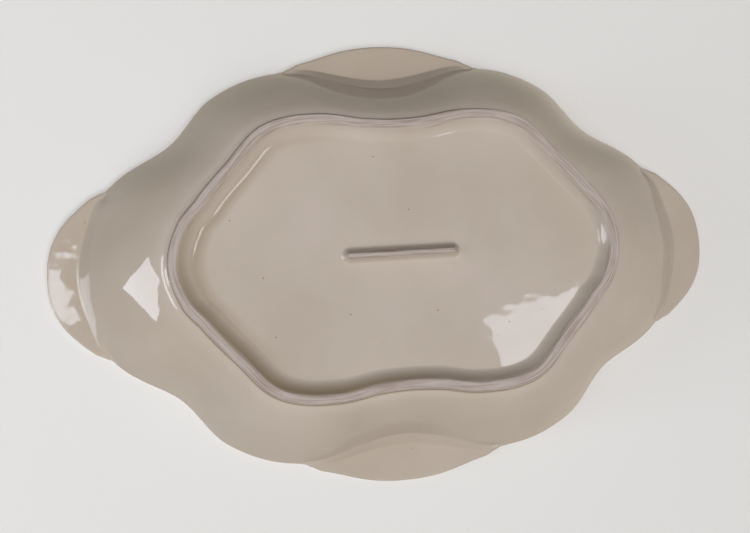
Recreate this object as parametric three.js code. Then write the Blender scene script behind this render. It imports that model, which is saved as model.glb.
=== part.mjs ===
// Porcelain platter: a wavy oval dish with two end handles, two side handles, a foot ring and a foot bar.
// Millimetres, +Z up. It stands on its foot at z = 0, centred on the Z axis, with its long axis along X.
import * as THREE from 'three';
import { mergeVertices } from 'three/addons/utils/BufferGeometryUtils.js';

// Plan angles from the long axis, in degrees, at which the rim and the foot are given a reach
const endFlankAngle = 10;
const endCornerAngle = 17;
const valleyAngle = 30;
const shoulderAngle = 45;
const sideCornerAngle = 62;
const sideFlankAngle = 74;

// Reach of the dish's rim from the centre
const rimEnd = 134;
const rimEndFlank = 131.5;
const rimEndCorner = 131;
const rimValley = 113.5;
const rimShoulder = 110.8;
const rimSideCorner = 101.1;
const rimSideFlank = 87.1;
const rimSide = 78.9;

// Reach of the foot ring's crest line from the centre
const footEnd = 90.3;
const footEndFlank = 87.3;
const footEndCorner = 82.4;
const footValley = 76.6;
const footShoulder = 73.9;
const footSideCorner = 63.4;
const footSideFlank = 56.1;
const footSide = 52.8;

// Heights and walls
const platterHeight = 40;
const recessDepth = 4.5;
const floorThickness = 4.2;
const wallThickness = 3.4;
const jointGap = 0.3;

// The wall's curve bends at a point given as shares of the wall's run and of its rise
const wallTurnRunShare = 0.45;
const wallTurnRiseShare = 0.2;

// Foot ring section
const footCrest = 3.4;
const footOuterFlare = 1.4;
const footInnerSlope = 5.4;
const footInnerHollow = 1.6;
const footSeatMargin = 0.6;

// Foot bar section
const barLength = 44;
const barCrest = 2.2;
const barFlare = 2.8;
const barFlareHollow = 0.8;
const barRelief = 0.3;

// Handles: flat flanges at rim level, joined to the dish by a sloping strip that ends at a soft corner.
// Angles are in degrees from the handle's middle; the edge angle is how far its edge turns up to the corner.
const handleLip = 1;
const handleStripLeast = 2;
const handleTaperPower = 4;
const endHandleReach = 18.5;
const endHandleCornerReach = 4.2;
const endHandleRootAngle = 17.1;
const endHandleCornerAngle = 15.4;
const endHandleApexPull = 18.5;
const endHandleCornerPull = 16.6;
const endHandleEdgeAngle = 52;
const endHandleStrip = 6.4;
const endHandleDrop = 4;
const sideHandleReach = 22.1;
const sideHandleCornerReach = 6.1;
const sideHandleRootAngle = 28.5;
const sideHandleCornerAngle = 22.8;
const sideHandleApexPull = 19.6;
const sideHandleCornerPull = 13.7;
const sideHandleEdgeAngle = 11;
const sideHandleStrip = 6.5;
const sideHandleDrop = 5.5;

// Facet counts
const endSteps = 5;
const rimSteps = 11;
const sideSteps = 6;
const wallSteps = 7;
const barPoints = 28;

// Glaze and bare clay
const glazeColour = '#b8aca0';
const footColour = '#ab9e95';
const glazeRoughness = 0.12;
const footRoughness = 0.55;

const stationAngles = [
  0, endFlankAngle, endCornerAngle, valleyAngle, shoulderAngle, sideCornerAngle, sideFlankAngle, 90,
];
const rimReaches = [
  rimEnd, rimEndFlank, rimEndCorner, rimValley, rimShoulder, rimSideCorner, rimSideFlank, rimSide,
];
const footReaches = [
  footEnd, footEndFlank, footEndCorner, footValley, footShoulder, footSideCorner, footSideFlank, footSide,
];
const rimLevel = platterHeight - wallThickness / 2;
const floorLevel = recessDepth + floorThickness / 2;
const footSeat = footCrest / 2 + footOuterFlare + footSeatMargin;

// Angle from the nearest end of the long axis, 0 to 90 degrees
function foldAngle(angle) {
  const half = ((angle % 180) + 180) % 180;
  return Math.min(half, 180 - half);
}

// Reach at an angle: a cubic through the stations, level at both axes so that the quarters join smoothly
function reachAt(reaches, angle) {
  const last = stationAngles.length - 1;
  const folded = foldAngle(angle);
  const slopeAt = (k) => {
    if (k === 0 || k === last) {
      return 0;
    }
    return (reaches[k + 1] - reaches[k - 1]) / (stationAngles[k + 1] - stationAngles[k - 1]);
  };
  let k = 0;
  while (k < last - 1 && folded > stationAngles[k + 1]) {
    k += 1;
  }
  const span = stationAngles[k + 1] - stationAngles[k];
  const t = (folded - stationAngles[k]) / span;
  const ease = t * t * (3 - 2 * t);
  const leave = t * (1 - t) * (1 - t) * span * slopeAt(k);
  const arrive = t * t * (t - 1) * span * slopeAt(k + 1);
  return reaches[k] * (1 - ease) + reaches[k + 1] * ease + leave + arrive;
}

function planDirection(angle) {
  const radians = THREE.MathUtils.degToRad(angle);
  return new THREE.Vector3(Math.cos(radians), Math.sin(radians), 0);
}

// Share of a handle's full strip at an angle: 1 at its middle, 0 at its roots and beyond
function handleShare(angle, middle, rootAngle) {
  const aside = Math.min(Math.abs(foldAngle(angle) - middle) / rootAngle, 1);
  return 1 - aside ** handleTaperPower;
}

// The rim dips under each handle, where the strip climbs back to rim level
function rimHeight(angle) {
  const endDip = endHandleDrop * handleShare(angle, 0, endHandleRootAngle);
  const sideDip = sideHandleDrop * handleShare(angle, 90, sideHandleRootAngle);
  return rimLevel - endDip - sideDip;
}

// Closed solid from rows of points; each row is a path, or a loop where the last point joins the first
function solidFromRows(rows, { ring = false, loop = false, caps = false }) {
  const width = rows[0].length;
  const triangles = [];
  const quad = (a, b, c, d) => triangles.push([a, b, c], [a, c, d]);
  const rowSteps = ring ? rows.length : rows.length - 1;
  const columnSteps = loop ? width : width - 1;
  for (let i = 0; i < rowSteps; i += 1) {
    const here = i * width;
    const next = ((i + 1) % rows.length) * width;
    for (let j = 0; j < columnSteps; j += 1) {
      const k = (j + 1) % width;
      quad(here + j, here + k, next + k, next + j);
    }
  }
  if (caps) {
    // Each end is closed by strips between the points that face each other across the loop
    const end = (rows.length - 1) * width;
    for (let j = 0; j < width / 2 - 1; j += 1) {
      const facing = width - 1 - j;
      quad(facing, facing - 1, j + 1, j);
      quad(end + j, end + j + 1, end + facing - 1, end + facing);
    }
  }
  const loose = new THREE.BufferGeometry();
  const coordinates = rows.flat().flatMap((point) => point.toArray());
  loose.setAttribute('position', new THREE.Float32BufferAttribute(coordinates, 3));
  loose.setIndex(triangles.flat());
  const geometry = mergeVertices(loose);
  const index = geometry.index.array;
  const kept = [];
  for (let i = 0; i < index.length; i += 3) {
    const [a, b, c] = index.subarray(i, i + 3);
    if (a !== b && b !== c && c !== a) {
      kept.push(a, b, c);
    }
  }
  geometry.setIndex(signedVolume(geometry, kept) < 0 ? kept.reverse() : kept);
  geometry.computeVertexNormals();
  return geometry;
}

function signedVolume(geometry, index) {
  const position = geometry.getAttribute('position');
  const corners = [new THREE.Vector3(), new THREE.Vector3(), new THREE.Vector3()];
  let volume = 0;
  for (let i = 0; i < index.length; i += 3) {
    corners.forEach((corner, k) => corner.fromBufferAttribute(position, index[i + k]));
    volume += corners[0].dot(corners[1].clone().cross(corners[2])) / 6;
  }
  return volume;
}

// Angles all round, with a row at the root of every handle
function anglesAround() {
  const quarter = [];
  for (let i = 0; i < endSteps; i += 1) {
    quarter.push(endHandleRootAngle * (i / endSteps));
  }
  const sideRoot = 90 - sideHandleRootAngle;
  for (let i = 0; i < rimSteps; i += 1) {
    quarter.push(THREE.MathUtils.lerp(endHandleRootAngle, sideRoot, i / rimSteps));
  }
  for (let i = 0; i < sideSteps; i += 1) {
    quarter.push(THREE.MathUtils.lerp(sideRoot, 90, i / sideSteps));
  }
  const half = [...quarter, 90, ...quarter.slice(1).reverse().map((angle) => 180 - angle)];
  return [...half, ...half.map((angle) => angle + 180)];
}

// Dish section at an angle: points half way through the clay, each with the thickness there
function dishSection(angle) {
  const wallStart = new THREE.Vector2(reachAt(footReaches, angle) + footSeat, floorLevel);
  const wallEnd = new THREE.Vector2(reachAt(rimReaches, angle) - wallThickness / 2, rimHeight(angle));
  const bend = new THREE.Vector2(
    THREE.MathUtils.lerp(wallStart.x, wallEnd.x, wallTurnRunShare),
    THREE.MathUtils.lerp(wallStart.y, wallEnd.y, wallTurnRiseShare),
  );
  const wall = new THREE.QuadraticBezierCurve(wallStart, bend, wallEnd);
  const middle = [{ point: new THREE.Vector2(0, floorLevel), thickness: floorThickness }];
  for (let i = 0; i <= wallSteps; i += 1) {
    const along = i / wallSteps;
    const thickness = THREE.MathUtils.lerp(floorThickness, wallThickness, along);
    middle.push({ point: wall.getPoint(along), thickness });
  }
  return middle;
}

// Underside and upper face of a section, half its thickness to either side with mitred bends
function shellFaces(middle, angle) {
  const out = planDirection(angle);
  const normals = middle.slice(1).map(({ point }, i) => {
    const step = point.clone().sub(middle[i].point).normalize();
    return new THREE.Vector2(-step.y, step.x);
  });
  const place = (point) => out.clone().multiplyScalar(point.x).setZ(point.y);
  const faces = { under: [], upper: [] };
  middle.forEach(({ point, thickness }, i) => {
    const before = normals[Math.max(i - 1, 0)];
    const after = normals[Math.min(i, normals.length - 1)];
    const mitre = before.clone().add(after).normalize();
    mitre.multiplyScalar(thickness / 2 / mitre.dot(after));
    faces.under.push(place(point.clone().sub(mitre)));
    faces.upper.push(place(point.clone().add(mitre)));
  });
  const last = middle.length - 1;
  const run = middle[last].point.clone().sub(middle[last - 1].point).normalize();
  faces.leaving = out.clone().multiplyScalar(run.x).setZ(run.y);
  return faces;
}

function dishBody() {
  const rows = anglesAround().map((angle) => {
    const { under, upper } = shellFaces(dishSection(angle), angle);
    return [...under, ...upper.reverse()];
  });
  return solidFromRows(rows, { ring: true });
}

// Ring of one section carried round the foot's crest line, square to that line
function footRing() {
  const half = footCrest / 2;
  const top = recessDepth - jointGap;
  const section = [
    [-half, 0],
    [half, 0],
    [half + footOuterFlare, top],
    [-half - footInnerSlope, top],
    [-half - footInnerHollow, top / 2],
  ];
  const smallStep = 0.01;
  const crestPoint = (angle) => planDirection(angle).multiplyScalar(reachAt(footReaches, angle));
  const rows = anglesAround().map((angle) => {
    const along = crestPoint(angle + smallStep).sub(crestPoint(angle - smallStep)).normalize();
    const outward = new THREE.Vector3(along.y, -along.x, 0);
    return section.map(([aside, z]) => crestPoint(angle).addScaledVector(outward, aside).setZ(z));
  });
  return solidFromRows(rows, { ring: true, loop: true });
}

// Bar with round ends, flaring towards the floor above it
function footBar() {
  const top = recessDepth - jointGap;
  const layers = [
    [0, barRelief],
    [barFlareHollow, (barRelief + top) / 2],
    [barFlare, top],
  ];
  const straight = (barLength - barCrest) / 2;
  const rows = layers.map(([flare, z]) => {
    const points = [];
    for (let i = 0; i < barPoints; i += 1) {
      const turn = planDirection((360 * (i + 0.5)) / barPoints);
      const end = new THREE.Vector3(Math.sign(turn.x) * straight, 0, z);
      points.push(end.addScaledVector(turn, barCrest / 2 + flare));
    }
    return points;
  });
  return solidFromRows(rows, { loop: true, caps: true });
}

// Handle from the dish's rim outwards: joint face, sloping strip, flat flange and rounded lip
function handle({
  middle, rim, reach, cornerReach, rootAngle, cornerAngle, apexPull, cornerPull, edgeAngle, strip, steps,
}) {
  const outward = planDirection(middle);
  const aside = planDirection(middle + 90);
  const apex = outward.clone().multiplyScalar(rim + reach);
  const cornerRim = reachAt(rimReaches, middle + cornerAngle);
  const corner = planDirection(middle + cornerAngle).multiplyScalar(cornerRim + cornerReach);
  const leaveCorner = planDirection(middle + 90 + edgeAngle);
  const edge = new THREE.CubicBezierCurve3(
    apex,
    apex.clone().addScaledVector(aside, apexPull),
    corner.clone().addScaledVector(leaveCorner, -cornerPull),
    corner,
  );
  const mirrorAside = (point) => point.addScaledVector(aside, -2 * point.dot(aside));
  const halfWall = wallThickness / 2;
  const rows = [];
  for (let i = -steps; i <= steps; i += 1) {
    const angle = middle + rootAngle * (i / steps);
    const { under, upper, leaving } = shellFaces(dishSection(angle), angle);
    const root = dishSection(angle).at(-1).point.x;
    const inner = planDirection(angle).multiplyScalar(root);
    const outer = edge.getPoint(Math.abs(i) / steps);
    if (i < 0) {
      mirrorAside(outer);
    }
    const across = outer.clone().sub(inner).normalize();
    const share = handleShare(angle, middle, rootAngle);
    const stripWidth = THREE.MathUtils.lerp(handleStripLeast, strip, share);
    const flangeStart = inner.clone().addScaledVector(across, stripWidth + jointGap);
    const lipStart = outer.clone().addScaledVector(across, -handleLip);
    const level = (point, height) => point.clone().setZ(rimLevel + height);
    rows.push([
      under.at(-1).addScaledVector(leaving, jointGap),
      level(flangeStart, -halfWall),
      level(lipStart, -halfWall),
      level(outer, handleLip - halfWall),
      level(outer, halfWall - handleLip),
      level(lipStart, halfWall),
      level(flangeStart, halfWall),
      upper.at(-1).addScaledVector(leaving, jointGap),
    ]);
  }
  return solidFromRows(rows, { loop: true, caps: true });
}

const endHandle = handle({
  middle: 0,
  rim: rimEnd,
  reach: endHandleReach,
  cornerReach: endHandleCornerReach,
  rootAngle: endHandleRootAngle,
  cornerAngle: endHandleCornerAngle,
  apexPull: endHandleApexPull,
  cornerPull: endHandleCornerPull,
  edgeAngle: endHandleEdgeAngle,
  strip: endHandleStrip,
  steps: endSteps,
});
const sideHandle = handle({
  middle: 90,
  rim: rimSide,
  reach: sideHandleReach,
  cornerReach: sideHandleCornerReach,
  rootAngle: sideHandleRootAngle,
  cornerAngle: sideHandleCornerAngle,
  apexPull: sideHandleApexPull,
  cornerPull: sideHandleCornerPull,
  edgeAngle: sideHandleEdgeAngle,
  strip: sideHandleStrip,
  steps: sideSteps,
});

const platter = new THREE.Group();

function addPiece(name, geometry, colour, roughness, turn = 0) {
  const material = new THREE.MeshStandardMaterial({ color: colour, roughness, metalness: 0 });
  const piece = new THREE.Mesh(geometry, material);
  piece.name = name;
  piece.rotation.z = turn;
  platter.add(piece);
}

addPiece('dish_body', dishBody(), glazeColour, glazeRoughness);
addPiece('foot_ring', footRing(), footColour, footRoughness);
addPiece('foot_bar', footBar(), footColour, footRoughness);
addPiece('end_handle_right', endHandle, glazeColour, glazeRoughness);
addPiece('end_handle_left', endHandle, glazeColour, glazeRoughness, Math.PI);
addPiece('side_handle_back', sideHandle, glazeColour, glazeRoughness);
addPiece('side_handle_front', sideHandle, glazeColour, glazeRoughness, Math.PI);

export default platter;
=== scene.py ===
import math

import bpy
import numpy as np
from mathutils import Matrix, Vector


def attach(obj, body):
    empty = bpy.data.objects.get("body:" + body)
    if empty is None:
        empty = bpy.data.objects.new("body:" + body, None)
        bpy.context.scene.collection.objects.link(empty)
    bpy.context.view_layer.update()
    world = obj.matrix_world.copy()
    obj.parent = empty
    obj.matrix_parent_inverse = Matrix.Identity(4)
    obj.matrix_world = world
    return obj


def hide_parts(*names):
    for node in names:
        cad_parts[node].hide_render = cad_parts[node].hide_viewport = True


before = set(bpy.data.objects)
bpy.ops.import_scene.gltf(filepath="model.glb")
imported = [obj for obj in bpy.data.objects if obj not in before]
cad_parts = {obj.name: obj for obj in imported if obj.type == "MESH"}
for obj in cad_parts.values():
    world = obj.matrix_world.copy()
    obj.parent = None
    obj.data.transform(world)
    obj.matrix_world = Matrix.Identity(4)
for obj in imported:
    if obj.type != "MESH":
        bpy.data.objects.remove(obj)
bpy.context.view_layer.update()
mm = 0.001
print("frame loaded:", len(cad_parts), "nodes")

# plan of the platter, in mm: reach from the centre at angles from the long axis, mirrored over both axes
plan = {
    "stations": [0, 10, 17, 30, 45, 62, 74, 82, 90],
    "rimReach": [134, 131.5, 131, 113.5, 110.8, 101.1, 86.9, 80.9, 78.9],
    "footReach": [90.3, 87.3, 82.4, 76.6, 73.9, 63.4, 56.1, 53.6, 52.8],
    # columns of the mesh: from one angle to the next, and how many
    "columnSpans": [(0, 13, 16), (13, 19, 38), (19, 59, 46), (59, 69.6, 42), (69.6, 90, 24)],
}

# dish wall and floor, in mm and degrees
dish = {
    "height": 40.0,
    "recess": 4.5,              # underside of the floor above the table
    "floorThickness": 4.2,
    "wallThickness": 3.4,
    "wallStart": 3.6,           # outside the foot's crest line
    "wallEase": 3.0,            # half width of the turn from floor to wall
    "turnRun": 0.45,            # the wall's curve bends at these shares of its run and rise
    "turnRise": 0.2,
    "lipSlope": 54.0,           # wall at the rim
    "dropPower": 6,             # how close under the crease the wall follows a handle's drop
    "sag": 0.05,                # the fired floor isn't quite flat: depth of its slow waves,
    "sagRuns": (13, 11, 19),    # their lengths along x, along y and aslant, over 2 pi,
    "sagStarts": (1.1, 0.4),    # where the first two start, in radians,
    "sagSlant": 1.7,            # how far the third lies aslant, and its share
    "sagThird": 0.6,
    "sagFade": 20,              # they fade out over this width outside the foot
    "wallTintAndShade": 0.12,           # olive tint on the wall, partly thicker glaze and partly painted shade, with this much more painted shade on the side turned from the light
    "wallShadeSide": 0.2,             # with this much more on the side that it ran to
    "shadeTowards": 245,
    "shadePower": 3,
    "toneRise": 0.2,            # share of the wall over which the tint comes in
    "floorRows": 18,
    "ringRows": 8,
    "wallRows": 34,
    "wallCrowd": 1.4,           # power by which rows lie closer towards the rim
    "lipRows": 11,
}

# handles, in mm and degrees: reach past the rim, half spans of root and corner, pulls of the edge's curve,
# and the sloping strip with its drop below the rim
endHandle = {
    "middle": 0, "reach": 18.5, "cornerReach": 4.2, "rootSpan": 17.1, "cornerSpan": 15.4,
    "apexPull": 18.5, "cornerPull": 16.6, "cornerTurn": 52,
    "strip": 6.4, "drop": 5.2, "dropSpan": 15.8, "leanSpan": 25,
}
sideHandle = {
    "middle": 90, "reach": 22.1, "cornerReach": 5.9, "rootSpan": 28.8, "cornerSpan": 22.8,
    "apexPull": 19.6, "cornerPull": 13.7, "cornerTurn": 11,
    "strip": 7.2, "drop": 5.8, "dropSpan": 26.2, "leanSpan": 40,
}
handles = (endHandle, sideHandle)
handleShape = {
    "halfSpan": 45,             # degrees, no handle reaches further from its middle
    "cornerEase": 1.35,         # degrees by which the stepped corner is rounded on either side
    "edgeRunOn": 1.25,          # the edge's curve is followed this far, 1 being its corner
    "edgePoints": 500,
    "flatStep": 2.0,            # where a handle is this wide or wider, it ends in a flat flange
    "shareFall": 6,             # powers by which strip and drop fall off towards the roots
    "shareEase": 1.5,
    "stripLeast": 2.0,
    "stripMost": 0.85,          # share of the handle's width
    "stripEase": 0.6,           # half width of the turn from strip to flange
    "stripHold": 3.0,           # how far the strip's line is followed inside the crease
    "creaseEase": 0.4,          # depth over which wall and strip run into each other
    "rootLeast": 0.3,           # least width of flange at a handle's two roots
    "widthLeast": 0.05,         # least width to divide by
    "faceLeast": 0.01,          # least width of a strip or flange in the mesh
    "flangeTintAndShade": 0.13,         # tint on the flange, partly glaze and partly painted shade, and more painted shade on the side turned from the light
    "flangeShadeSide": 0.25,
    "stripRows": 18,
    "stripCrowd": 1.6,          # powers by which rows lie closer at the fold of strip and flange
    "flangeRows": 20,
    "flangeCrowd": 2,
}

lipRadius = dish["wallThickness"] / 2
lipTurn = math.radians(dish["lipSlope"])
rimInset = lipRadius * (1 - math.sin(lipTurn))
rimUnder = dish["height"] - lipRadius - lipRadius * math.cos(lipTurn)
tabUnder = dish["height"] - dish["wallThickness"]


def smoothStep(x):
    # 0 below 0, 1 above 1, and the cubic 3x^2 - 2x^3 between
    x = np.clip(x, 0, 1)
    return x * x * (3 - 2 * x)


def easeRamp(x, width):
    # 0 below -width, x above +width, and the parabola (x + width)^2 / 4 width between
    return np.where(x > width, x, np.clip(x + width, 0, 2 * width) ** 2 / (4 * width))


def softMin(a, b, depth):
    # the lower of a and b, rounded off by a parabola where they are less than depth apart
    near = np.clip(depth - np.abs(a - b), 0, None) / depth
    return np.minimum(a, b) - near * near * depth / 4


def towards(degrees, middle, power):
    # 1 at one angle round the platter and 0 opposite: half a cosine of the angle from there, to a power
    return (0.5 + 0.5 * np.cos(np.radians(degrees - middle))) ** power


def fold(degrees):
    # the plan's two mirrors bring any angle into the first quarter: a triangle wave from 0 to 90
    return 90 - np.abs(np.mod(degrees, 180) - 90)


def reachAt(reaches, degrees):
    # cubic between stations; the slope at a station is the chord between its two neighbours
    angles = np.array(plan["stations"], float)
    values = np.array(reaches, float)
    slopes = np.zeros_like(values)
    slopes[1:-1] = (values[2:] - values[:-2]) / (angles[2:] - angles[:-2])
    folded = fold(degrees)
    k = np.clip(np.searchsorted(angles, folded, side="right") - 1, 0, len(angles) - 2)
    span = angles[k + 1] - angles[k]
    t = (folded - angles[k]) / span
    ease = t * t * (3 - 2 * t)
    leave = t * (1 - t) ** 2 * span * slopes[k]
    arrive = t * t * (t - 1) * span * slopes[k + 1]
    return values[k] * (1 - ease) + values[k + 1] * ease + leave + arrive


def rimLine(degrees):
    # reach of the dish's rim, without the handles
    return reachAt(plan["rimReach"], degrees)


def footLine(degrees):
    # reach of the middle of the foot ring's crest
    return reachAt(plan["footReach"], degrees)


def creaseLine(degrees):
    # end of the wall's underside: the rim less what the round lip takes up
    return rimLine(degrees) - rimInset


def tabTable(handle):
    # outer edge of a flange as angle and reach: cubic Bezier from apex to corner, run on a little past it
    turn = math.radians(handle["cornerTurn"])
    corner = math.radians(handle["cornerSpan"])
    apexReach = rimLine(np.array(handle["middle"])) + handle["reach"]
    cornerReach = rimLine(np.array(handle["middle"] + handle["cornerSpan"])) + handle["cornerReach"]
    apex = np.array([apexReach, 0.0])
    end = cornerReach * np.array([math.cos(corner), math.sin(corner)])
    first = apex + np.array([0.0, handle["apexPull"]])
    second = end - handle["cornerPull"] * np.array([-math.sin(turn), math.cos(turn)])
    t = np.linspace(0, handleShape["edgeRunOn"], handleShape["edgePoints"])[:, None]
    s = 1 - t
    edge = apex * s ** 3 + 3 * first * t * s ** 2 + 3 * second * t * t * s + end * t ** 3
    return np.degrees(np.arctan2(edge[:, 1], edge[:, 0])), np.hypot(edge[:, 0], edge[:, 1])


for handle in handles:
    handle["tableAngles"], handle["tableReaches"] = tabTable(handle)


def aside(handle, degrees):
    # angle from the middle of the nearest handle of this kind, without its sign
    return np.abs(fold(degrees) - handle["middle"])


def outerEdge(degrees):
    # rim reach, stepping out to the flange's edge between each handle's root and corner angles
    rim = rimLine(degrees)
    edge = rim
    for handle in handles:
        away = aside(handle, degrees)
        root = handle["rootSpan"] + handleShape["cornerEase"]
        corner = handle["cornerSpan"] - handleShape["cornerEase"]
        out = smoothStep((root - away) / (root - corner))
        edge = edge + out * (np.interp(away, handle["tableAngles"], handle["tableReaches"]) - rim)
    return edge


def flatness(degrees):
    # 0 at the plain rim, 1 where a handle stands out from it by the flat step or more, eased between
    return smoothStep((outerEdge(degrees) - rimLine(degrees)) / handleShape["flatStep"])


def share(handle, degrees):
    # 1 at the handle's middle, falling ever faster and easing off to 0 just short of its roots:
    # one less a power of the angle's share of the span, itself to a power
    away = np.clip(aside(handle, degrees) / handle["dropSpan"], 0, 1)
    return (1 - away ** handleShape["shareFall"]) ** handleShape["shareEase"]


def lean(handle, degrees):
    # 1 at the handle's middle, easing to 0 well past its roots, so that the wall below has no ridge
    return 1 - smoothStep(aside(handle, degrees) / handle["leanSpan"])


def stretch(reachFunction, degrees):
    # how much longer a step across an outline is along the radius than square to the outline
    step = 0.05
    slope = (reachFunction(degrees + step) - reachFunction(degrees - step)) / math.radians(2 * step)
    return np.sqrt(1 + (slope / reachFunction(degrees)) ** 2)


def flangeInset(degrees):
    # where the underside ends and the round lip starts: a lip radius inside a flat flange,
    # less at the sloping rim, and never inside the crease
    inset = (rimInset + flatness(degrees) * (lipRadius - rimInset)) * stretch(outerEdge, degrees)
    return np.maximum(outerEdge(degrees) - inset, creaseLine(degrees))


def stripEnd(degrees):
    # inner edge of the flat flange: the crease and the strip's width, which follows each handle's share,
    # but never further out than most of the way to the lip
    crease = creaseLine(degrees)
    width = handleShape["stripLeast"]
    for handle in handles:
        width = width + (handle["strip"] - handleShape["stripLeast"]) * share(handle, degrees)
    width = width + rimInset - lipRadius
    room = np.maximum(flangeInset(degrees) - crease, handleShape["widthLeast"])
    return crease + np.minimum(width, handleShape["stripMost"] * room)


def floorSag(degrees, reach):
    # a sine along x times a cosine along y, plus a sine aslant, fading out just outside the foot
    x, y = reach * np.cos(np.radians(degrees)), reach * np.sin(np.radians(degrees))
    runX, runY, runAslant = dish["sagRuns"]
    startX, startY = dish["sagStarts"]
    waves = np.sin(x / runX + startX) * np.cos(y / runY + startY)
    waves = waves + dish["sagThird"] * np.sin((x + dish["sagSlant"] * y) / runAslant)
    return dish["sag"] * waves * smoothStep((footLine(degrees) + dish["sagFade"] - reach) / dish["sagFade"])


def underside(degrees, reach):
    # height of the platter's underside: flat floor, Bezier wall, then strip and flange where a handle is
    crease = creaseLine(degrees)
    start = footLine(degrees) + dish["wallStart"]
    drop = sum(handle["drop"] * share(handle, degrees) for handle in handles)
    leaning = sum(handle["drop"] * lean(handle, degrees) for handle in handles)
    run = crease - start
    rise = rimUnder - leaning - dish["recess"]
    along = easeRamp(reach - start, dish["wallEase"])
    # share t of the Bezier at a given run, from its quadratic
    a = run * (1 - 2 * dish["turnRun"])
    b = 2 * dish["turnRun"] * run
    t = (np.sqrt(b * b + 4 * a * along) - b) / (2 * a)
    wall = dish["recess"] + rise * (2 * dish["turnRise"] * t * (1 - t) + t * t)
    # what is left of the drop shows only close under the crease
    wall = wall - (drop - leaning) * np.minimum(t, 1) ** dish["dropPower"]
    wall = wall + floorSag(degrees, reach)
    inner = stripEnd(degrees)
    fall = np.maximum(tabUnder - (rimUnder - drop), 0)
    slope = fall / np.maximum(inner - crease, handleShape["widthLeast"])
    back = np.minimum(inner - reach, inner - crease + handleShape["stripHold"])
    strip = tabUnder - slope * easeRamp(back, handleShape["stripEase"])
    return wall + flatness(degrees) * (softMin(wall, strip, handleShape["creaseEase"]) - wall)


def upNormals(height, degrees, reach):
    # unit vector square to a height over the plan, from central differences along the radius and round
    # the axis
    stepReach, stepAngle, leastReach = 0.05, 0.03, 0.5
    outSlope = (height(degrees, reach + stepReach) - height(degrees, reach - stepReach)) / (2 * stepReach)
    turned = height(degrees + stepAngle, reach) - height(degrees - stepAngle, reach)
    roundSlope = turned / (2 * math.radians(stepAngle) * np.maximum(reach, leastReach))
    c, s = np.cos(np.radians(degrees)), np.sin(np.radians(degrees))
    level = np.ones_like(outSlope)
    normal = np.stack([roundSlope * s - outSlope * c, -roundSlope * c - outSlope * s, level], -1)
    return normal / np.linalg.norm(normal, axis=-1, keepdims=True)


def placed(degrees, reach, height):
    # points from their angle and reach about the upright axis, and their height
    return np.stack([reach * np.cos(np.radians(degrees)), reach * np.sin(np.radians(degrees)), height], -1)


def lipRows(under, normal, wraps):
    # half circle from the underside's end to the upper face's end, in the plane of the surface's normal
    # and the direction out of its edge
    if wraps:
        tangent = np.roll(under, -1, 0) - np.roll(under, 1, 0)
    else:
        tangent = np.gradient(under, axis=0)
    outward = np.cross(tangent, normal)
    outward /= np.linalg.norm(outward, axis=-1, keepdims=True)
    turn = np.linspace(-math.pi / 2, math.pi / 2, dish["lipRows"])[None, :, None]
    square = np.cos(turn) * outward[:, None] + np.sin(turn) * normal[:, None]
    return under[:, None] + lipRadius * (normal[:, None] + square), square, outward


def joinPatches(patches):
    # grids of points one after the other, with four corners for each cell, turned to face outwards;
    # a patch is its points, their outward normals, whether it wraps round, and its marks (paint amounts)
    points, normals, marks, quads = [], [], [], []
    count = 0
    for grid, square, wraps, mark in patches:
        rows, across = grid.shape[:2]
        index = np.arange(rows * across).reshape(rows, across) + count
        if wraps:
            index = np.vstack([index, index[:1]])
        quad = np.stack([index[:-1, :-1], index[1:, :-1], index[1:, 1:], index[:-1, 1:]], -1).reshape(-1, 4)
        flatPoints, flatNormals = grid.reshape(-1, 3), square.reshape(-1, 3)
        local = flatPoints[quad - count]
        facing = np.cross(local[:, 2] - local[:, 0], local[:, 3] - local[:, 1])
        if np.sum(facing * flatNormals[quad[:, 0] - count]) < 0:
            quad = quad[:, ::-1]
        points.append(flatPoints)
        normals.append(flatNormals)
        marks.append(np.broadcast_to(mark, (rows, across, 3)).reshape(-1, 3))
        quads.append(quad)
        count += rows * across
    return tuple(np.concatenate(parts) for parts in (points, normals, marks, quads))


def buildPiece(name, patches, node, material):
    # one closed mesh: points that coincide are welded, cells that shrink to a line go, and each face corner
    # keeps the normal of its own patch
    weldDigits = 4      # decimals of a mm
    points, normals, marks, quads = joinPatches(patches)
    rounded = np.round(points, weldDigits)
    first, weld = np.unique(rounded, axis=0, return_index=True, return_inverse=True)[1:]
    corners = weld.reshape(-1)[quads]
    keep = corners != np.roll(corners, -1, axis=1)
    whole = keep.sum(1) > 2
    keep, corners, quads = keep[whole], corners[whole], quads[whole]
    sizes = keep.sum(1)
    loops = corners[keep]
    mesh = bpy.data.meshes.new(name)
    mesh.vertices.add(len(first))
    mesh.vertices.foreach_set("co", (points[first] * mm).astype(np.float32).ravel())
    mesh.loops.add(len(loops))
    mesh.loops.foreach_set("vertex_index", loops.astype(np.int32))
    mesh.polygons.add(len(sizes))
    mesh.polygons.foreach_set("loop_start", (np.cumsum(sizes) - sizes).astype(np.int32))
    mesh.update(calc_edges=True)
    mesh.polygons.foreach_set("use_smooth", np.ones(len(sizes), bool))
    for channel, label in enumerate(("bare", "poolAndShade", "across")):
        mark = mesh.attributes.new(label, "FLOAT", "POINT")
        mark.data.foreach_set("value", marks[first, channel].astype(np.float32))
    mesh.normals_split_custom_set(normals[quads][keep].tolist())
    mesh.materials.append(material)
    piece = bpy.data.objects.new(name, mesh)
    bpy.context.scene.collection.objects.link(piece)
    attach(piece, "root")
    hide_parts(node)
    print("made", name, len(sizes), "faces")


def linear(hexColour):
    # sRGB hex to linear light, with full alpha
    channels = [int(hexColour[k:k + 2], 16) / 255 for k in (1, 3, 5)]
    return tuple(c / 12.92 if c <= 0.04045 else ((c + 0.055) / 1.055) ** 2.4 for c in channels) + (1.0,)


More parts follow.
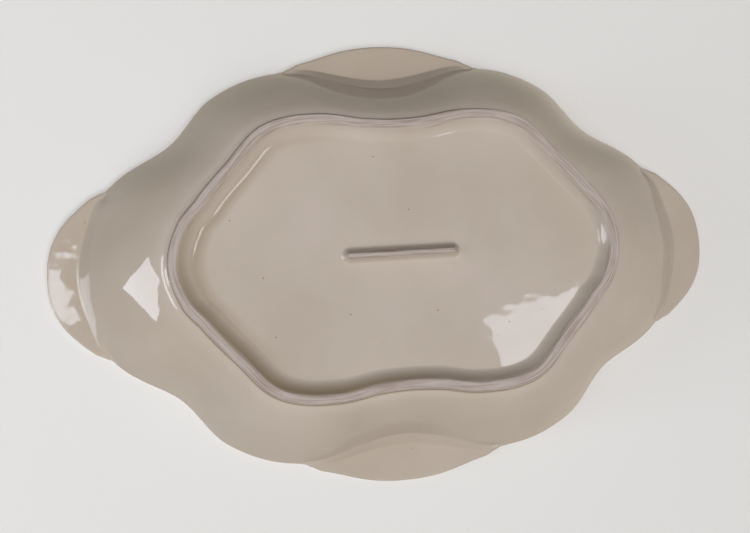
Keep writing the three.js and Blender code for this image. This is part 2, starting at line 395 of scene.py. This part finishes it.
def addNode(tree, kind, values=None, links=None, **settings):
    # one node: first its settings, then the values and the links of its sockets
    node = tree.nodes.new(kind)
    for key, value in settings.items():
        setattr(node, key, value)
    for key, value in (values or {}).items():
        node.inputs[key].default_value = value
    for key, socket in (links or {}).items():
        tree.links.new(socket, node.inputs[key])
    return node


# Porcelain under a clear feldspar glaze, dipped and fired: a glassy skin with sharp reflections over a
# warm ivory body, a few iron specks, and an olive cast, partly where the glaze ran thick and partly painted
# shade on the wall, the flanges, the foot's inner slope, its outer groove and its inner root. The foot's
# crest is
# ground bare: matt, pinkish, smudged. Sizes are in mm.
glaze = {
    "ivory": "#b9ada2",
    "shade": "#b0a497",
    # olive for pooled glaze, and also for painted shade on the wall, the flanges and the foot ring
    "oliveCast": "#95836b",
    "speck": "#5a5048",
    "bareClay": "#aea29b",
    "smudge": "#8f7d73",
    "tideLine": "#76665a",          # brown line where the glaze stops
    "ior": 1.5,
    "gloss": 0.045,
    "halfMatt": 0.4,                # thin glaze just inside the bare crest
    "matt": 0.7,
    "cloudSize": 50,                # slow change of tone
    "cloudDetail": 3,
    "cloudSpan": (0.35, 0.65),      # part of the noise that is drawn out to the full change
    "speckCell": 11.5,              # about one iron speck per cell that lies on the surface
    "speckSize": 0.34,
    "speckCore": 0.6,               # share of the speck inside its soft edge
    "speckStrength": 0.8,
    "rippleSize": 9,                # unevenness of the glaze skin
    "rippleDepth": 0.1,
    "streakLength": 14,             # grinding marks along the bare crest, drawn coarse enough to show
    "streakWidth": 0.7,
    "streakDetail": 3,
    "smudgeSpan": (0.42, 0.72),
    "edgeWander": 0.6,              # how much the streaks move the edge of the bare crest
    "edgeSpan": (0.35, 0.65),       # amounts of the mark between which glaze turns to clay
    "thinFull": 0.2,                # amount at which the glaze is at its thinnest
    "tideAt": 0.4,                  # amount at the brown line, its fade to either side, its strength
    "tideFade": 0.24,
    "tideStrength": 0.8,
}


def glazedPorcelain(name):
    # ivory with slow clouds of tone, mixed to olive by the piece's mark of pooled glaze and painted shade,
    # with specks and a ripple
    material = bpy.data.materials.new(name)
    material.use_nodes = True
    tree = material.node_tree
    shader = tree.nodes["Principled BSDF"]
    place = addNode(tree, "ShaderNodeTexCoord").outputs["Object"]
    clouds = addNode(
        tree, "ShaderNodeTexNoise",
        {"Scale": 1 / (glaze["cloudSize"] * mm), "Detail": glaze["cloudDetail"]}, {"Vector": place})
    low, high = glaze["cloudSpan"]
    tone = addNode(
        tree, "ShaderNodeMapRange", {"From Min": low, "From Max": high}, {"Value": clouds.outputs["Fac"]})
    ivory = addNode(
        tree, "ShaderNodeMix", {"A": linear(glaze["ivory"]), "B": linear(glaze["shade"])},
        {"Factor": tone.outputs["Result"]}, data_type="RGBA")
    # olive amount read from the piece: pooled glaze and painted shade
    poolAndShade = addNode(tree, "ShaderNodeAttribute", attribute_name="poolAndShade")
    olive = addNode(
        tree, "ShaderNodeMix", {"B": linear(glaze["oliveCast"])},
        {"Factor": poolAndShade.outputs["Fac"], "A": ivory.outputs["Result"]}, data_type="RGBA")
    cells = addNode(
        tree, "ShaderNodeTexVoronoi", {"Scale": 1 / (glaze["speckCell"] * mm)}, {"Vector": place})
    speckReach = glaze["speckSize"] / glaze["speckCell"]
    dot = addNode(
        tree, "ShaderNodeMapRange",
        {"From Min": speckReach * glaze["speckCore"], "From Max": speckReach,
         "To Min": glaze["speckStrength"], "To Max": 0.0},
        {"Value": cells.outputs["Distance"]})
    specked = addNode(
        tree, "ShaderNodeMix", {"B": linear(glaze["speck"])},
        {"Factor": dot.outputs["Result"], "A": olive.outputs["Result"]}, data_type="RGBA")
    ripple = addNode(
        tree, "ShaderNodeTexNoise", {"Scale": 1 / (glaze["rippleSize"] * mm), "Detail": 1.0},
        {"Vector": place})
    bump = addNode(
        tree, "ShaderNodeBump", {"Strength": 1.0, "Distance": glaze["rippleDepth"] * mm},
        {"Height": ripple.outputs["Fac"]})
    shader.inputs["IOR"].default_value = glaze["ior"]
    shader.inputs["Roughness"].default_value = glaze["gloss"]
    tree.links.new(specked.outputs["Result"], shader.inputs["Base Color"])
    tree.links.new(bump.outputs["Normal"], shader.inputs["Normal"])
    return material


def groundCrest(material):
    # clay laid over the glaze where the piece is marked bare: streaks along the crest smudge it and move
    # its edge, a brown line follows the edge, and roughness is the greater of thin glaze's and clay's
    tree = material.node_tree
    shader = tree.nodes["Principled BSDF"]
    skin = shader.inputs["Base Color"].links[0].from_socket
    place = addNode(tree, "ShaderNodeTexCoord").outputs["Object"]
    bare = addNode(tree, "ShaderNodeAttribute", attribute_name="bare")
    across = addNode(tree, "ShaderNodeAttribute", attribute_name="across")
    # streaks: noise over the plan, drawn out along the crest by the distance across it
    lengthwise = addNode(
        tree, "ShaderNodeVectorMath", {1: (1 / (glaze["streakLength"] * mm),) * 2 + (0,)}, {0: place},
        operation="MULTIPLY")
    crosswise = addNode(
        tree, "ShaderNodeMath", {1: 1 / (glaze["streakWidth"] * mm)}, {0: across.outputs["Fac"]},
        operation="MULTIPLY")
    lift = addNode(tree, "ShaderNodeCombineXYZ", None, {"Z": crosswise.outputs["Value"]})
    drawn = addNode(
        tree, "ShaderNodeVectorMath", None, {0: lengthwise.outputs["Vector"], 1: lift.outputs["Vector"]},
        operation="ADD")
    streaks = addNode(
        tree, "ShaderNodeTexNoise", {"Scale": 1.0, "Detail": glaze["streakDetail"]},
        {"Vector": drawn.outputs["Vector"]})
    evened = addNode(tree, "ShaderNodeMath", {1: 0.5}, {0: streaks.outputs["Fac"]}, operation="SUBTRACT")
    worn = addNode(
        tree, "ShaderNodeMath", {1: glaze["edgeWander"]},
        {0: evened.outputs["Value"], 2: bare.outputs["Fac"]}, operation="MULTIPLY_ADD")
    low, high = glaze["edgeSpan"]
    crest = addNode(
        tree, "ShaderNodeMapRange", {"From Min": low, "From Max": high}, {"Value": worn.outputs["Value"]})
    low, high = glaze["smudgeSpan"]
    smudged = addNode(
        tree, "ShaderNodeMapRange", {"From Min": low, "From Max": high}, {"Value": streaks.outputs["Fac"]})
    clay = addNode(
        tree, "ShaderNodeMix", {"A": linear(glaze["bareClay"]), "B": linear(glaze["smudge"])},
        {"Factor": smudged.outputs["Result"]}, data_type="RGBA")
    covered = addNode(
        tree, "ShaderNodeMix", None,
        {"Factor": crest.outputs["Result"], "A": skin, "B": clay.outputs["Result"]}, data_type="RGBA")
    fromLine = addNode(
        tree, "ShaderNodeMath", {1: glaze["tideAt"]}, {0: worn.outputs["Value"]}, operation="SUBTRACT")
    offLine = addNode(tree, "ShaderNodeMath", None, {0: fromLine.outputs["Value"]}, operation="ABSOLUTE")
    line = addNode(
        tree, "ShaderNodeMapRange",
        {"From Min": 0.0, "From Max": glaze["tideFade"], "To Min": glaze["tideStrength"], "To Max": 0.0},
        {"Value": offLine.outputs["Value"]})
    lined = addNode(
        tree, "ShaderNodeMix", {"B": linear(glaze["tideLine"])},
        {"Factor": line.outputs["Result"], "A": covered.outputs["Result"]}, data_type="RGBA")
    thin = addNode(
        tree, "ShaderNodeMapRange",
        {"From Max": glaze["thinFull"], "To Min": glaze["gloss"], "To Max": glaze["halfMatt"]},
        {"Value": bare.outputs["Fac"]})
    ground = addNode(
        tree, "ShaderNodeMapRange", {"To Min": glaze["gloss"], "To Max": glaze["matt"]},
        {"Value": crest.outputs["Result"]})
    rough = addNode(
        tree, "ShaderNodeMath", None, {0: thin.outputs["Result"], 1: ground.outputs["Result"]},
        operation="MAXIMUM")
    tree.links.new(lined.outputs["Result"], shader.inputs["Base Color"])
    tree.links.new(rough.outputs["Value"], shader.inputs["Roughness"])
    return material


ivoryGlaze = glazedPorcelain("glazedIvoryPorcelain")
footGlaze = groundCrest(glazedPorcelain("glazedPorcelainWithGroundFoot"))
print("materials made")

# angles of the columns round the platter, closer together at the stepped corners
quarter = np.concatenate([np.linspace(a, b, n, endpoint=False) for a, b, n in plan["columnSpans"]])
halfRound = np.concatenate([quarter, 180 - np.append(quarter, 90)[:0:-1]])
columns = np.concatenate([halfRound, halfRound + 180])
onHandle = flangeInset(columns) - creaseLine(columns) >= handleShape["rootLeast"]
noMark = np.zeros(3)

# foot ring, in mm from its crest line and degrees; the dish's rows follow its two roots as well
ringFoot = {
    "innerReach": 6.8,          # inner root, further in by this much more towards one end
    "innerMore": 1.2,
    "moreTowards": 170,
    "morePower": 5,
    "outerReach": 3.6,
    "crestInner": 1.6,          # inner edge of the ground crest, worn broader by this much towards one end
    "crestWorn": 0.9,
    "wornTowards": 10,
    "wornPower": 3,
    "crestOuter": 1.9,
    "crestRound": 0.7,
    "innerHollow": 1.6,         # powers that hollow the two sides
    "outerHollow": 2.3,
    "clear": 0.012,             # the roots lie this far under the floor, the back this far inside it
    "hide": 0.4,
    "rows": 54,
    "bareOuter": 2.25,          # outer and inner end of the bare mark, from crest line and crest edge
    "bareInner": 0.3,
    "bareEase": 0.6,
    "thin": 0.2,                # thin glaze inside the crest: amount, reach from its edge, width of start
    "thinReach": 1.6,
    "thinEase": 1.0,
    "slopeStart": 0.1,          # darker olive down the inner slope, partly drained glaze and partly painted shade: start, widths of start and end,
    "slopeEase": 0.6,
    "slopeRun": 5.4,
    "slopeShadeTowards": 125,      # the side where the painted shade is most, and how much is found everywhere
    "slopeShadePower": 3,
    "slopeShadeLeast": 0.05,
    "grooveStart": 2.1,         # painted shade in the groove outside the ring: start, widths of start and end
    "grooveEase": 0.3,
    "grooveEnd": 0.7,
    "rootPoolAndShade": 0.6,            # dark olive along the inner root at one end, pooled glaze with painted shade, and how far to either side
    "rootMarkTowards": 192,
    "rootMarkPower": 8,
    "rootMarkRun": 4.5,
}


def innerReach(degrees):
    # how far in the ring's inner root lies: an even part, and more of it towards one end
    more = towards(degrees, ringFoot["moreTowards"], ringFoot["morePower"])
    return ringFoot["innerReach"] + ringFoot["innerMore"] * more


def crestEdge(degrees):
    # inner edge of the ground crest: an even part, and more of it towards one end
    worn = towards(degrees, ringFoot["wornTowards"], ringFoot["wornPower"])
    return ringFoot["crestInner"] + ringFoot["crestWorn"] * worn


def tintAndShade(degrees, even, more):
    # tint that is partly glaze and partly painted shade: an even part, and more painted shade on the side
    # turned from the light
    return even + more * towards(degrees, dish["shadeTowards"], dish["shadePower"])


foot = footLine(columns)[:, None]
footStretch = stretch(footLine, columns)[:, None]
ringInner = innerReach(columns)[:, None]
ringOuter = ringFoot["outerReach"]
innerLine = foot - ringInner * footStretch
outerLine = foot + ringOuter * footStretch
# dark olive at one end of the inner root: pooled glaze with painted shade
rootMarkShare = towards(columns, ringFoot["rootMarkTowards"], ringFoot["rootMarkPower"])
rootPoolAndShade = ringFoot["rootPoolAndShade"] * rootMarkShare[:, None]


def makeDishBody():
    # rows run from the centre to the rim, or to the crease where a handle takes over; the upper face is the
    # underside raised along its normals by a thickness that follows the height
    bodyEnd = np.where(onHandle, creaseLine(columns), flangeInset(columns))[:, None]
    floorShare = np.linspace(0, 1, dish["floorRows"], endpoint=False)
    ringShare = np.linspace(0, 1, dish["ringRows"], endpoint=False)
    wallShare = 1 - (1 - np.linspace(0, 1, dish["wallRows"])) ** dish["wallCrowd"]
    reach = np.hstack([
        innerLine * floorShare,
        innerLine + (outerLine - innerLine) * ringShare,
        outerLine + (bodyEnd - outerLine) * wallShare,
    ])
    angle = np.broadcast_to(columns[:, None], reach.shape)
    height = underside(angle, reach)
    up = upNormals(underside, angle, reach)
    up[:, 0] = up[:, 0].mean(0)     # one normal at the centre closes the pole
    under = placed(angle, reach, height)
    rising = np.clip((height - dish["recess"]) / (rimUnder - dish["recess"]), 0, 1)
    thickness = dish["floorThickness"] + (dish["wallThickness"] - dish["floorThickness"]) * rising
    upper = under + up * thickness[..., None]
    # the lip is round along the rim and a plain joint face behind a handle
    rimLip, rimSquare, rimOut = lipRows(under[:, -1], up[:, -1], True)
    climb = np.linspace(0, 1, dish["lipRows"])[None, :, None]
    joint = under[:, -1:] + (upper[:, -1:] - under[:, -1:]) * climb
    lip = np.where(onHandle[:, None, None], joint, rimLip)
    square = np.where(onHandle[:, None, None], np.broadcast_to(rimOut[:, None], rimLip.shape), rimSquare)
    lip[:, 0], lip[:, -1] = under[:, -1], upper[:, -1]
    # tint of the wall, partly glaze and partly painted shade, and the dark olive at one end of the ring's
    # inner root, pooled glaze with painted shade
    wallTintAndShade = tintAndShade(columns, dish["wallTintAndShade"], dish["wallShadeSide"])[:, None]
    tone = wallTintAndShade * smoothStep((reach - outerLine) / (dish["toneRise"] * (bodyEnd - outerLine)))
    # the same dark olive, pooled glaze with painted shade, runs onto the floor inside the root
    nearRoot = smoothStep(1 + (reach - innerLine) / ringFoot["rootMarkRun"]) * (reach < outerLine)
    tones = np.stack(np.broadcast_arrays(0.0, tone + rootPoolAndShade * nearRoot, 0.0), -1)
    patches = [(under, -up, True, tones), (lip, square, True, noMark), (upper, up, True, noMark)]
    buildPiece("dishBody", patches, "dish_body", ivoryGlaze)


def makeHandle(name, node, middle):
    # rows run from the crease over strip and flange to the lip, on both faces; the root and the two ends
    # are closed inside the clay
    turned = np.mod(columns - middle + 180, 360) - 180
    chosen = np.flatnonzero(onHandle & (np.abs(turned) < handleShape["halfSpan"]))
    chosen = chosen[np.argsort(turned[chosen])]
    chosen = np.concatenate([[chosen[0] - 1], chosen, [(chosen[-1] + 1) % len(columns)]])
    spots = columns[chosen]
    start = creaseLine(spots)[:, None]
    finish = np.maximum(flangeInset(spots)[:, None], start + 2 * handleShape["faceLeast"])
    turn = np.minimum(stripEnd(spots)[:, None], finish - handleShape["faceLeast"])
    stripLeft = np.linspace(1, 0, handleShape["stripRows"], endpoint=False)
    stripShare = 1 - stripLeft ** handleShape["stripCrowd"]
    flangeShare = np.linspace(0, 1, handleShape["flangeRows"]) ** handleShape["flangeCrowd"]
    reach = np.hstack([start + (turn - start) * stripShare, turn + (finish - turn) * flangeShare])
    angle = np.broadcast_to(spots[:, None], reach.shape)
    up = upNormals(underside, angle, reach)
    under = placed(angle, reach, underside(angle, reach))
    upper = under + up * dish["wallThickness"]
    lip, square, outward = lipRows(under[:, -1], up[:, -1], False)
    lip[:, 0], lip[:, -1] = under[:, -1], upper[:, -1]
    root = np.stack([under[:, 0], upper[:, 0]], 1)
    # the tint, partly painted shade, goes from the wall's to the flange's over the strip
    rootTone = tintAndShade(spots, dish["wallTintAndShade"], dish["wallShadeSide"])[:, None]
    flangeTintAndShade = tintAndShade(spots, handleShape["flangeTintAndShade"], handleShape["flangeShadeSide"])[:, None]
    overStrip = smoothStep((reach - start) / np.maximum(turn - start, handleShape["widthLeast"]))
    tone = rootTone + (flangeTintAndShade - rootTone) * overStrip
    tones = np.stack(np.broadcast_arrays(0.0, tone, 0.0), -1)
    patches = [
        (under, -up, False, tones),
        (lip, square, False, tones[:, -1:]),
        (upper, up, False, noMark),
        (root, np.broadcast_to(-outward[:, None], root.shape), False, noMark),
    ]
    halfLip = dish["lipRows"] // 2 + 1
    for end, sign in ((0, -1), (-1, 1)):
        below = np.concatenate([under[end, :-1], lip[end, :halfLip]])
        above = np.concatenate([upper[end, :-1], lip[end, ::-1][:halfLip]])
        cap = np.stack([below, above], 1)
        spot = math.radians(spots[end])
        capOut = sign * np.array([-math.sin(spot), math.cos(spot), 0])
        patches.append((cap, np.broadcast_to(capOut, cap.shape), False, noMark))
    buildPiece(name, patches, node, ivoryGlaze)


def ringShape(degrees, reach):
    # how far the foot stands down from the underside, 0 to 1: flat crest, then a power of the way left
    # to each root, so that both sides are hollow, the outer one steeper
    offset = (reach - footLine(degrees)) / stretch(footLine, degrees)
    edge = crestEdge(degrees)
    inner = easeRamp(-offset - edge, ringFoot["crestRound"]) / (innerReach(degrees) - edge)
    outer = easeRamp(offset - ringFoot["crestOuter"], ringFoot["crestRound"])
    outer = outer / (ringOuter - ringFoot["crestOuter"])
    slope = (1 - np.clip(inner, 0, 1)) ** ringFoot["innerHollow"]
    return slope * (1 - np.clip(outer, 0, 1)) ** ringFoot["outerHollow"]


def ringUnder(degrees, reach):
    # height of the ring's face: just under the floor at its roots, down to the table by the ring's shape
    return (underside(degrees, reach) - ringFoot["clear"]) * (1 - ringShape(degrees, reach))


def ringMarks(offset):
    # bare crest with thin glaze along its inner side; olive that is partly pooled glaze and partly painted
    # shade on the inner slope and at the inner root, and painted shade in the outer groove, all by eased
    # steps over the offset; third, the offset in metres
    inside = offset + crestEdge(columns)[:, None]
    fromRoot = offset + ringInner
    bare = smoothStep((ringFoot["bareOuter"] - offset) / ringFoot["bareEase"])
    bare = bare * smoothStep((inside + ringFoot["bareInner"]) / ringFoot["bareEase"])
    thin = ringFoot["thin"] * smoothStep((inside + ringFoot["thinReach"]) / ringFoot["thinEase"])
    bare = np.maximum(bare, thin * (offset < 0))
    # olive down the inner slope: drained glaze and painted shade, most on the side turned from the light
    slope = smoothStep((ringFoot["slopeStart"] - inside) / ringFoot["slopeEase"])
    slope = slope * smoothStep(fromRoot / ringFoot["slopeRun"])
    slopeShadeShare = towards(columns, ringFoot["slopeShadeTowards"], ringFoot["slopeShadePower"])[:, None]
    slopeShadeShare = ringFoot["slopeShadeLeast"] + (1 - ringFoot["slopeShadeLeast"]) * slopeShadeShare
    # painted shade in the groove between ring and wall
    groove = smoothStep((offset - ringFoot["grooveStart"]) / ringFoot["grooveEase"])
    groove = groove * smoothStep((ringOuter - offset) / ringFoot["grooveEnd"])
    # pooled glaze and painted shade along the inner root
    atRoot = rootPoolAndShade * smoothStep(1 - fromRoot / ringFoot["rootMarkRun"])
    poolAndShade = np.maximum(slope * slopeShadeShare, atRoot) + groove
    return np.stack(np.broadcast_arrays(bare, poolAndShade, offset * mm), -1)


def makeFootRing():
    # rows run across the ring in even steps from its inner to its outer root; the back and the two rims
    # that close it lie in the floor
    offset = -ringInner + (ringInner + ringOuter) * np.linspace(0, 1, ringFoot["rows"])
    reach = foot + offset * footStretch
    angle = np.broadcast_to(columns[:, None], reach.shape)
    down = -upNormals(ringUnder, angle, reach)
    face = placed(angle, reach, ringUnder(angle, reach))
    back = placed(angle, reach, underside(angle, reach) + ringFoot["hide"])[:, [0, -1]]
    outwards = placed(columns, np.ones_like(columns), np.zeros_like(columns))[:, None]
    rims = [np.stack([face[:, k], back[:, k]], 1) for k in (0, -1)]
    patches = [
        (face, down, True, ringMarks(offset)),
        (back, np.broadcast_to(np.array([0.0, 0.0, 1.0]), back.shape), True, noMark),
        (rims[0], np.broadcast_to(-outwards, rims[0].shape), True, noMark),
        (rims[1], np.broadcast_to(outwards, rims[1].shape), True, noMark),
    ]
    buildPiece("footRing", patches, "foot_ring", footGlaze)


# foot bar, in mm: a ridge whose section depends on the distance from its centre line
ridge = {
    "length": 44.0,
    "crestHalf": 0.8,           # half width of the flat crest
    "crestRound": 0.5,
    "run": 3.1,                 # width of each side
    "hollow": 2.1,              # power that hollows the sides
    "relief": 0.3,              # crest above the table
    "clear": 0.012,             # the root lies this far under the floor, the back this far inside it
    "hide": 0.4,
    "rows": 26,
    "sideColumns": 44,
    "endColumns": 22,
    "bareReach": 1.6,           # end of the bare mark, and the width of its change
    "bareEase": 0.8,
    "oliveCast": 0.25,             # glaze on the sides: amount, start and the width of its end
    "poolStart": 1.2,
    "poolEase": 1.8,
}
ridgeHalf = ridge["length"] / 2 - ridge["crestHalf"]
ridgeReach = ridge["crestHalf"] + ridge["run"]


def ridgeUnder(degrees, reach):
    # height of the bar's face: flat crest, then a power of the way left from the crest's edge to the root
    x, y = reach * np.cos(np.radians(degrees)), reach * np.sin(np.radians(degrees))
    distance = np.hypot(np.maximum(np.abs(x) - ridgeHalf, 0), y)
    fall = np.clip(easeRamp(distance - ridge["crestHalf"], ridge["crestRound"]) / ridge["run"], 0, 1)
    floor = underside(degrees, reach) - ridge["clear"]
    return floor - (floor - ridge["relief"]) * (1 - fall) ** ridge["hollow"]


def makeFootBar():
    # columns run round the bar's centre line, along both sides and both ends; rows run out to its root
    along = np.linspace(ridgeHalf, -ridgeHalf, ridge["sideColumns"])
    turns = np.linspace(90, 270, ridge["endColumns"])[1:-1]
    sides, ends = np.ones(len(along)), np.ones(len(turns))
    stem = np.concatenate([along, -ridgeHalf * ends, along[::-1], ridgeHalf * ends])
    heading = np.radians(np.concatenate([90 * sides, turns, 270 * sides, turns + 180]))
    out = ridgeReach * np.linspace(0, 1, ridge["rows"])
    x = stem[:, None] + out * np.cos(heading)[:, None]
    y = out * np.sin(heading)[:, None]
    angle, reach = np.degrees(np.arctan2(y, x)), np.hypot(x, y)
    down = -upNormals(ridgeUnder, angle, reach)
    face = placed(angle, reach, ridgeUnder(angle, reach))
    back = placed(angle, reach, underside(angle, reach) + ridge["hide"])[:, [0, -1]]
    skirt = np.stack([face[:, -1], back[:, -1]], 1)
    skirtOut = np.stack([np.cos(heading), np.sin(heading), np.zeros_like(heading)], -1)[:, None]
    # marks: bare crest, pooled glaze on the sides, and the distance across in metres
    bare = smoothStep((ridge["bareReach"] - out) / ridge["bareEase"])
    poolAndShade = smoothStep((out - ridge["poolStart"]) / ridge["bareEase"])
    poolAndShade = ridge["oliveCast"] * poolAndShade * smoothStep((ridgeReach - out) / ridge["poolEase"])
    patches = [
        (face, down, True, np.stack(np.broadcast_arrays(bare, poolAndShade, y * mm), -1)),
        (back, np.broadcast_to(np.array([0.0, 0.0, 1.0]), back.shape), True, noMark),
        (skirt, np.broadcast_to(skirtOut, skirt.shape), True, noMark),
    ]
    buildPiece("footBar", patches, "foot_bar", footGlaze)


makeDishBody()
makeHandle("endHandleRight", "end_handle_right", 0)
makeHandle("endHandleLeft", "end_handle_left", 180)
makeHandle("sideHandleBack", "side_handle_back", 90)
makeHandle("sideHandleFront", "side_handle_front", 270)
makeFootRing()
makeFootBar()

# stage, in metres: the view is of the underside, so the floor shows only from above and the backdrop
# only from below; both catch the shadow but stay out of the object's own light
stageSet = {
    "colour": "#dcdad7",
    "roughness": 0.9,
    "sky": "#d4cab9",
    "size": 24.0,
    "backdropHeight": 0.0412,
    "floorSweep": (0.4, 3.0),       # distance from the platter over which each turns to the sky's tone
    "backdropSweep": (0.35, 0.9),
}


def stagePlane(name, height, facesUp, sweepSpan):
    # level square of matt painted board, clear from its back; an eased step of the distance from the
    # platter mixes the board with the sky's tone
    material = bpy.data.materials.new(name + "PaintedBoard")
    material.use_nodes = True
    tree = material.node_tree
    shader = tree.nodes["Principled BSDF"]
    shader.inputs["Base Color"].default_value = linear(stageSet["colour"])
    shader.inputs["Roughness"].default_value = stageSet["roughness"]
    place = addNode(tree, "ShaderNodeTexCoord").outputs["Object"]
    away = addNode(tree, "ShaderNodeVectorMath", None, {0: place}, operation="LENGTH")
    far = addNode(
        tree, "ShaderNodeMapRange", {"From Min": sweepSpan[0], "From Max": sweepSpan[1]},
        {"Value": away.outputs["Value"]}, interpolation_type="SMOOTHSTEP")
    sweep = addNode(tree, "ShaderNodeEmission", {"Color": linear(stageSet["sky"]), "Strength": 1.0})
    board = addNode(
        tree, "ShaderNodeMixShader", None,
        {0: far.outputs["Result"], 1: shader.outputs[0], 2: sweep.outputs[0]})
    side = addNode(tree, "ShaderNodeNewGeometry").outputs["Backfacing"]
    clear = addNode(tree, "ShaderNodeBsdfTransparent")
    shown = addNode(tree, "ShaderNodeMixShader", None, {0: side, 1: board.outputs[0], 2: clear.outputs[0]})
    tree.links.new(shown.outputs[0], tree.nodes["Material Output"].inputs["Surface"])
    r = stageSet["size"] / 2
    corners = [(-r, -r, height), (r, -r, height), (r, r, height), (-r, r, height)]
    mesh = bpy.data.meshes.new(name)
    mesh.from_pydata(corners, [], [(0, 1, 2, 3) if facesUp else (3, 2, 1, 0)])
    mesh.materials.append(material)
    plane = bpy.data.objects.new(name, mesh)
    bpy.context.scene.collection.objects.link(plane)
    for kind in ("diffuse", "glossy", "transmission", "volume_scatter", "shadow"):
        setattr(plane, "visible_" + kind, False)


stagePlane("floor", 0.0, True, stageSet["floorSweep"])
stagePlane("backdrop", stageSet["backdropHeight"], False, stageSet["backdropSweep"])
print("stage set")

# room light on the object: a soft lobe from below, weak from elsewhere, even from above; cameras,
# reflections and clear things see the plain pale sky
roomLight = {
    "tint": (1.0, 0.978, 0.955, 1.0),
    "least": 0.01,
    "lobe": 3.7,                    # strength in the lobe's middle, past the least
    "towards": (0.15, 0.38, -0.913),
    "lobeSpan": (0.77, 1.0),        # cosine of the angle from the middle where it starts, and is full
    "above": 0.9,
    "aboveSpan": (0.2, 0.8),        # height of the direction where the even light starts, and is full
}
world = bpy.data.worlds.new("paleRoom")
bpy.context.scene.world = world
world.use_nodes = True
tree = world.node_tree
direction = addNode(tree, "ShaderNodeTexCoord").outputs["Generated"]
facing = addNode(
    tree, "ShaderNodeVectorMath", {1: roomLight["towards"]}, {0: direction}, operation="DOT_PRODUCT")
low, high = roomLight["lobeSpan"]
fromBelow = addNode(
    tree, "ShaderNodeMapRange",
    {"From Min": low, "From Max": high,
     "To Min": roomLight["least"], "To Max": roomLight["least"] + roomLight["lobe"]},
    {"Value": facing.outputs["Value"]}, interpolation_type="SMOOTHSTEP")
axes = addNode(tree, "ShaderNodeSeparateXYZ", None, {"Vector": direction})
low, high = roomLight["aboveSpan"]
fromAbove = addNode(
    tree, "ShaderNodeMapRange", {"From Min": low, "From Max": high}, {"Value": axes.outputs["Z"]})
strength = addNode(
    tree, "ShaderNodeMix", {"B": roomLight["above"]},
    {"Factor": fromAbove.outputs["Result"], "A": fromBelow.outputs["Result"]})
room = tree.nodes["Background"]
room.inputs["Color"].default_value = roomLight["tint"]
tree.links.new(strength.outputs["Result"], room.inputs["Strength"])
sky = addNode(tree, "ShaderNodeBackground", {"Color": linear(stageSet["sky"]), "Strength": 1.0})
rays = addNode(tree, "ShaderNodeLightPath").outputs
mirrored = addNode(
    tree, "ShaderNodeMath", None, {0: rays["Is Glossy Ray"], 1: rays["Is Transmission Ray"]},
    operation="MAXIMUM")
seen = addNode(
    tree, "ShaderNodeMath", None, {0: rays["Is Camera Ray"], 1: mirrored.outputs["Value"]},
    operation="MAXIMUM")
both = addNode(
    tree, "ShaderNodeMixShader", None, {0: seen.outputs["Value"], 1: room.outputs[0], 2: sky.outputs[0]})
tree.links.new(both.outputs[0], tree.nodes["World Output"].inputs["Surface"])

# lamps: centre and two edges of each lit rectangle in metres, power in watts; the cross product of across
# and along points away from the platter
coolTint = (0.84, 0.9, 1.0)
warmTint = (1.0, 0.975, 0.95)
lamps = {
    "ceilingSoftbox": {
        "centre": (-0.2, -0.3, 1.7), "across": (1.8, 0, 0), "along": (0, 1.8, 0),
        "power": 16, "tint": warmTint},
    "leftWindow": {
        "centre": (-1.016, 0.096, -0.317), "across": (0, 0.33, 0.399), "along": (0.0423, 0.2746, -0.2324),
        "power": 3.85, "tint": coolTint},
    "leftPanel": {
        "centre": (-0.5775, -0.0097, -0.8175), "across": (0.025, 0.107, 0),
        "along": (0.17, -0.0397, -0.085), "power": 0.48, "tint": coolTint},
    "leftShelf": {
        "centre": (-0.77, 0.045, -0.72), "across": (0, 0.41, 0), "along": (0.082, 0, -0.088),
        "power": 1.05, "tint": coolTint},
    "leftPane": {
        "centre": (-0.507, -0.106, -0.89), "across": (0, 0.021, 0), "along": (0.03, 0, -0.015),
        "power": 0.0177, "tint": coolTint},
    "rightWindow": {
        "centre": (0.475, 0.256, -0.909), "across": (0.115, 0.434, 0.034), "along": (0.2, -0.07, 0.056),
        "power": 1.75, "tint": coolTint},
}
for name, lamp in lamps.items():
    light = bpy.data.lights.new(name, "AREA")
    light.shape = "RECTANGLE"
    across, along = Vector(lamp["across"]), Vector(lamp["along"])
    light.size, light.size_y = across.length, along.length
    light.energy = lamp["power"]
    light.color = lamp["tint"]
    holder = bpy.data.objects.new(name, light)
    away = across.cross(along).normalized()
    right = across.normalized()
    turn = Matrix((right, away.cross(right), away)).transposed()
    holder.matrix_world = Matrix.Translation(lamp["centre"]) @ turn.to_4x4()
    bpy.context.scene.collection.objects.link(holder)
print("room light and", len(lamps), "lamps set")

# camera: below the platter, worked out from the mirror symmetry of its rim and foot in the photo;
# place and near clip in metres, turns in radians, lens and sensor in mm
view = {
    "place": (-0.03651, 0.01848, -0.23797),
    "turns": (0.06493172, -0.05581968, 0.1036558),
    "lens": 28.8,
    "sensor": 36.0,
    "nearClip": 0.01,
}


def cameraTurn(turns):
    # swing, then tilt, then turn about the view axis; the view's axes are the plan's with Y and Z reversed
    a, b, c = turns
    spin = np.array([[math.cos(a), -math.sin(a), 0], [math.sin(a), math.cos(a), 0], [0, 0, 1]])
    tilt = np.array([[1, 0, 0], [0, math.cos(b), -math.sin(b)], [0, math.sin(b), math.cos(b)]])
    swing = np.array([[math.cos(c), 0, math.sin(c)], [0, 1, 0], [-math.sin(c), 0, math.cos(c)]])
    return np.diag([1.0, -1.0, -1.0]) @ (spin @ tilt @ swing).T


camera = bpy.data.cameras.new("photoCamera")
camera.sensor_width = view["sensor"]
camera.lens = view["lens"]
camera.clip_start = view["nearClip"]
cameraHolder = bpy.data.objects.new("photoCamera", camera)
cameraFrame = Matrix(cameraTurn(view["turns"]).tolist()).to_4x4()
cameraHolder.matrix_world = Matrix.Translation(view["place"]) @ cameraFrame
bpy.context.scene.collection.objects.link(cameraHolder)
bpy.context.scene.camera = cameraHolder
bpy.context.scene.view_settings.view_transform = "Standard"
print("camera set")
